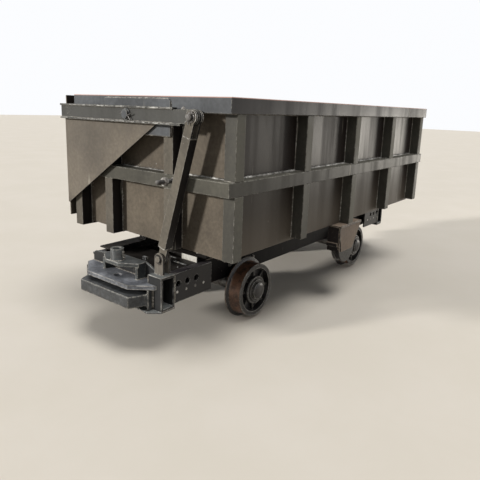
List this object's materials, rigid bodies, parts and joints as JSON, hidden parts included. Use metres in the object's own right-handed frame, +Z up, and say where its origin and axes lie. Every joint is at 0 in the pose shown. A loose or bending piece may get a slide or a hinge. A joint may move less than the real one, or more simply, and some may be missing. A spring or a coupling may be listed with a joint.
{
  "type": "side dump ore cart",
  "caption": "Rail ore cart whose steel box tips sideways on hinges while linked arms swing its side door open, lifted by a roller; flanged wheels and pin coupling buffers.",
  "frame": {"origin": "on the floor below the middle of the cart, where the wheel flanges stand", "axes": "+X along the track towards one coupling, +Y towards the lifting roller, +Z up"},
  "size_m": [2.91, 1.25, 1.2555],
  "materials": {
    "frame_paint": "semi-gloss black paint, dusty",
    "body_paint": "semi-gloss black-brown paint with scuffs",
    "cast_iron": "rough cast, light rust",
    "bare_steel": "bare steel, oily"
  },
  "bodies": {
    "underframe": {"sill_roller_side": "frame_paint", "sill_door_side": "frame_paint", "cross_members": "frame_paint", "draft_plates": "frame_paint", "end_beam_front": "frame_paint", "end_beam_rear": "frame_paint", "buffer_top_plates": "frame_paint", "coupling_bridges": "frame_paint", "axle_brackets": "frame_paint", "hinge_rail": "frame_paint", "rest_pads": "frame_paint", "link_clevises": "frame_paint", "buffer_front": "cast_iron", "buffer_rear": "cast_iron"},
    "hopper": {"floor_plate": "body_paint", "floor_bearers": "body_paint", "side_wall": "body_paint", "end_wall_front": "body_paint", "end_wall_rear": "body_paint", "rim_frame": "body_paint", "mid_band": "body_paint", "side_ribs": "body_paint", "end_posts": "body_paint", "pivot_plates": "body_paint", "hinge_lugs": "body_paint", "roller_bracket": "body_paint", "stop_studs": "bare_steel"},
    "door": {"door_panel": "body_paint", "door_ribs": "body_paint", "door_rails": "body_paint", "door_arm_front": "body_paint", "door_arm_rear": "body_paint", "door_wings": "body_paint"},
    "front_link": {"link_front": "body_paint"},
    "rear_link": {"link_rear": "body_paint"},
    "front_wheelset": {"axle_front": "bare_steel", "wheel_front_roller_side": "cast_iron", "wheel_front_door_side": "cast_iron"},
    "rear_wheelset": {"axle_rear": "bare_steel", "wheel_rear_roller_side": "cast_iron", "wheel_rear_door_side": "cast_iron"},
    "lifting_roller": {"dump_roller": "cast_iron"}
  },
  "joints": [
    {"name": "hopper_tilt", "type": "hinge", "parent": "underframe", "child": "hopper", "pos_m": [0, -0.19, 0.4885], "axis": [1, 0, 0], "range_deg": [0, 40]},
    {"name": "door_swing", "type": "hinge", "parent": "hopper", "child": "door", "pos_m": [0, 0, 1.1655], "axis": [1, 0, 0], "range_deg": [-40, 0]},
    {"name": "front_link_swing", "type": "hinge", "parent": "underframe", "child": "front_link", "pos_m": [1.28, 0.243, 0.486], "axis": [1, 0, 0], "range_deg": [0, 42]},
    {"name": "rear_link_swing", "type": "hinge", "parent": "underframe", "child": "rear_link", "pos_m": [-1.28, 0.243, 0.486], "axis": [1, 0, 0], "range_deg": [0, 42]},
    {"name": "front_wheelset_spin", "type": "hinge", "parent": "underframe", "child": "front_wheelset", "pos_m": [0.66, 0, 0.179], "axis": [0, 1, 0], "continuous": true},
    {"name": "rear_wheelset_spin", "type": "hinge", "parent": "underframe", "child": "rear_wheelset", "pos_m": [-0.66, 0, 0.179], "axis": [0, 1, 0], "continuous": true},
    {"name": "lifting_roller_spin", "type": "hinge", "parent": "hopper", "child": "lifting_roller", "pos_m": [0, 0.5775, 0.3625], "axis": [0, 1, 0], "continuous": true}
  ],
  "couplings": [
    {"joint": "door_swing", "follows": "hopper_tilt", "ratio": -0.972},
    {"joint": "front_link_swing", "follows": "hopper_tilt", "ratio": 0.992},
    {"joint": "rear_link_swing", "follows": "hopper_tilt", "ratio": 0.992}
  ]
}
